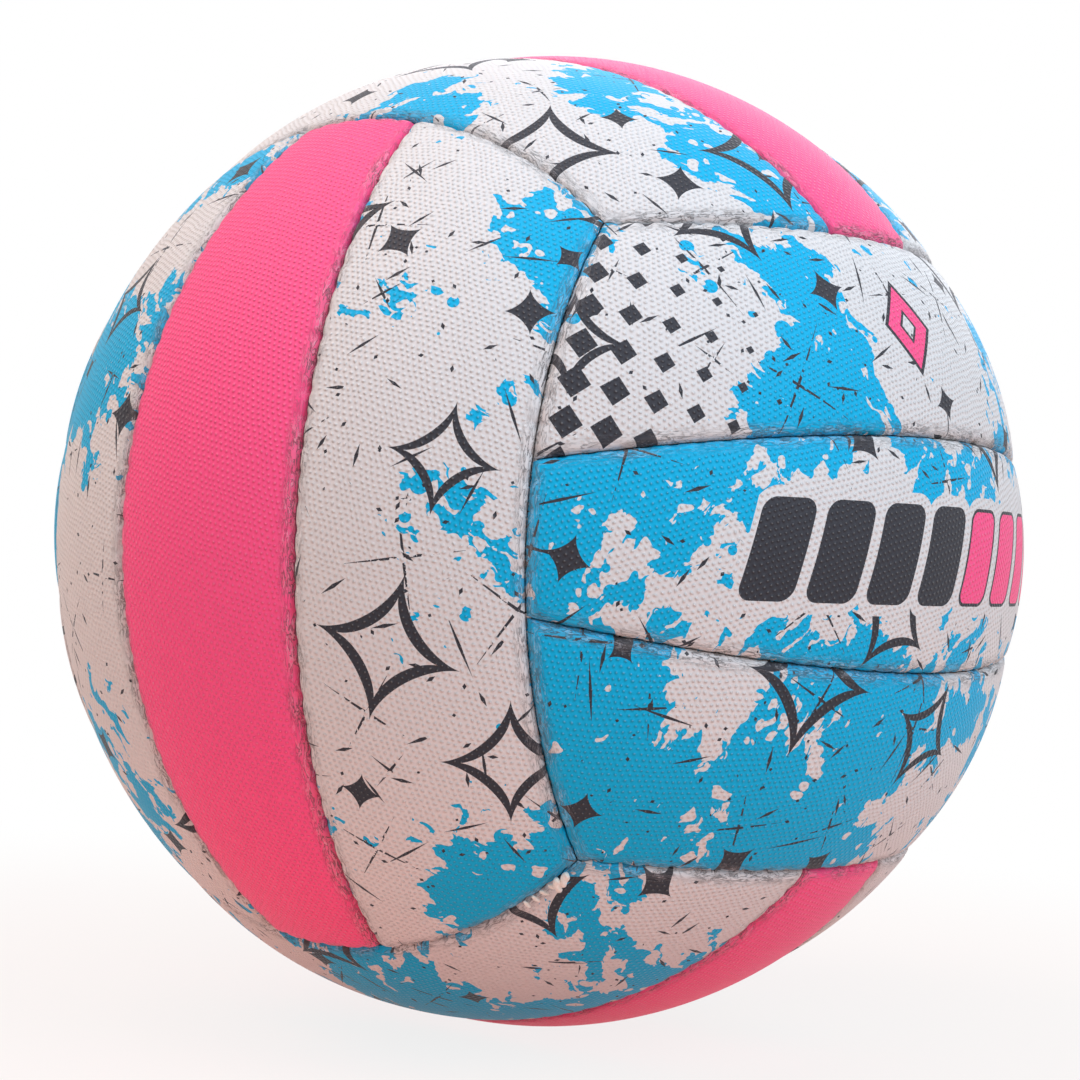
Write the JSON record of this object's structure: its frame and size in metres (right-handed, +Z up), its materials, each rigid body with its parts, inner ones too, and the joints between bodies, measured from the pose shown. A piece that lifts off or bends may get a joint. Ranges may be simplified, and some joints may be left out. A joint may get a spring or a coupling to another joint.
{
  "type": "netball",
  "caption": "Match netball of crowned rubber panels, laced together from behind round an inflated bladder with a needle valve.",
  "frame": {"origin": "centre of the ball", "axes": "+Z up through the middle of the top face, whose strips run along X; -Y through the middle of the front face, whose strips run along Z; +X through the middle of the right face, whose strips run along Y; the valve is in the middle of the back face, on +Y"},
  "size_m": [0.2228, 0.2227, 0.2228],
  "materials": {
    "white_rubber": "pebbled, satin",
    "pink_rubber": "pebbled, satin",
    "printed_rubber": "pebbled, satin, with a printed pattern",
    "laminated_cloth": "woven, matte",
    "waxed_thread": "waxed, satin",
    "latex_bladder": "smooth, satin",
    "butyl_rubber": "smooth, satin"
  },
  "bodies": {
    "root": {"front_panel_middle": "pink_rubber", "front_panel_right": "white_rubber", "front_panel_left": "white_rubber", "right_panel_middle": "printed_rubber", "right_panel_upper": "white_rubber", "right_panel_lower": "white_rubber", "top_panel_middle": "pink_rubber", "top_panel_front": "white_rubber", "top_panel_back": "white_rubber", "back_panel_middle": "pink_rubber", "back_panel_right": "white_rubber", "back_panel_left": "white_rubber", "left_panel_middle": "printed_rubber", "left_panel_upper": "white_rubber", "left_panel_lower": "white_rubber", "bottom_panel_middle": "pink_rubber", "bottom_panel_front": "white_rubber", "bottom_panel_back": "white_rubber", "front_lining_middle": "laminated_cloth", "front_lining_right": "laminated_cloth", "front_lining_left": "laminated_cloth", "right_lining_middle": "laminated_cloth", "right_lining_upper": "laminated_cloth", "right_lining_lower": "laminated_cloth", "top_lining_middle": "laminated_cloth", "top_lining_front": "laminated_cloth", "top_lining_back": "laminated_cloth", "back_lining_middle": "laminated_cloth", "back_lining_right": "laminated_cloth", "back_lining_left": "laminated_cloth", "left_lining_middle": "laminated_cloth", "left_lining_upper": "laminated_cloth", "left_lining_lower": "laminated_cloth", "bottom_lining_middle": "laminated_cloth", "bottom_lining_front": "laminated_cloth", "bottom_lining_back": "laminated_cloth", "front_strip_lacing": "waxed_thread", "right_strip_lacing": "waxed_thread", "top_strip_lacing": "waxed_thread", "back_strip_lacing": "waxed_thread", "left_strip_lacing": "waxed_thread", "bottom_strip_lacing": "waxed_thread", "front_edge_lacing": "waxed_thread", "right_edge_lacing": "waxed_thread", "top_edge_lacing": "waxed_thread", "back_edge_lacing": "waxed_thread", "left_edge_lacing": "waxed_thread", "bottom_edge_lacing": "waxed_thread", "closing_stitches": "waxed_thread", "bladder": "latex_bladder", "valve_patch": "butyl_rubber", "valve_tube": "butyl_rubber", "valve_plug": "butyl_rubber"}
  },
  "joints": []
}
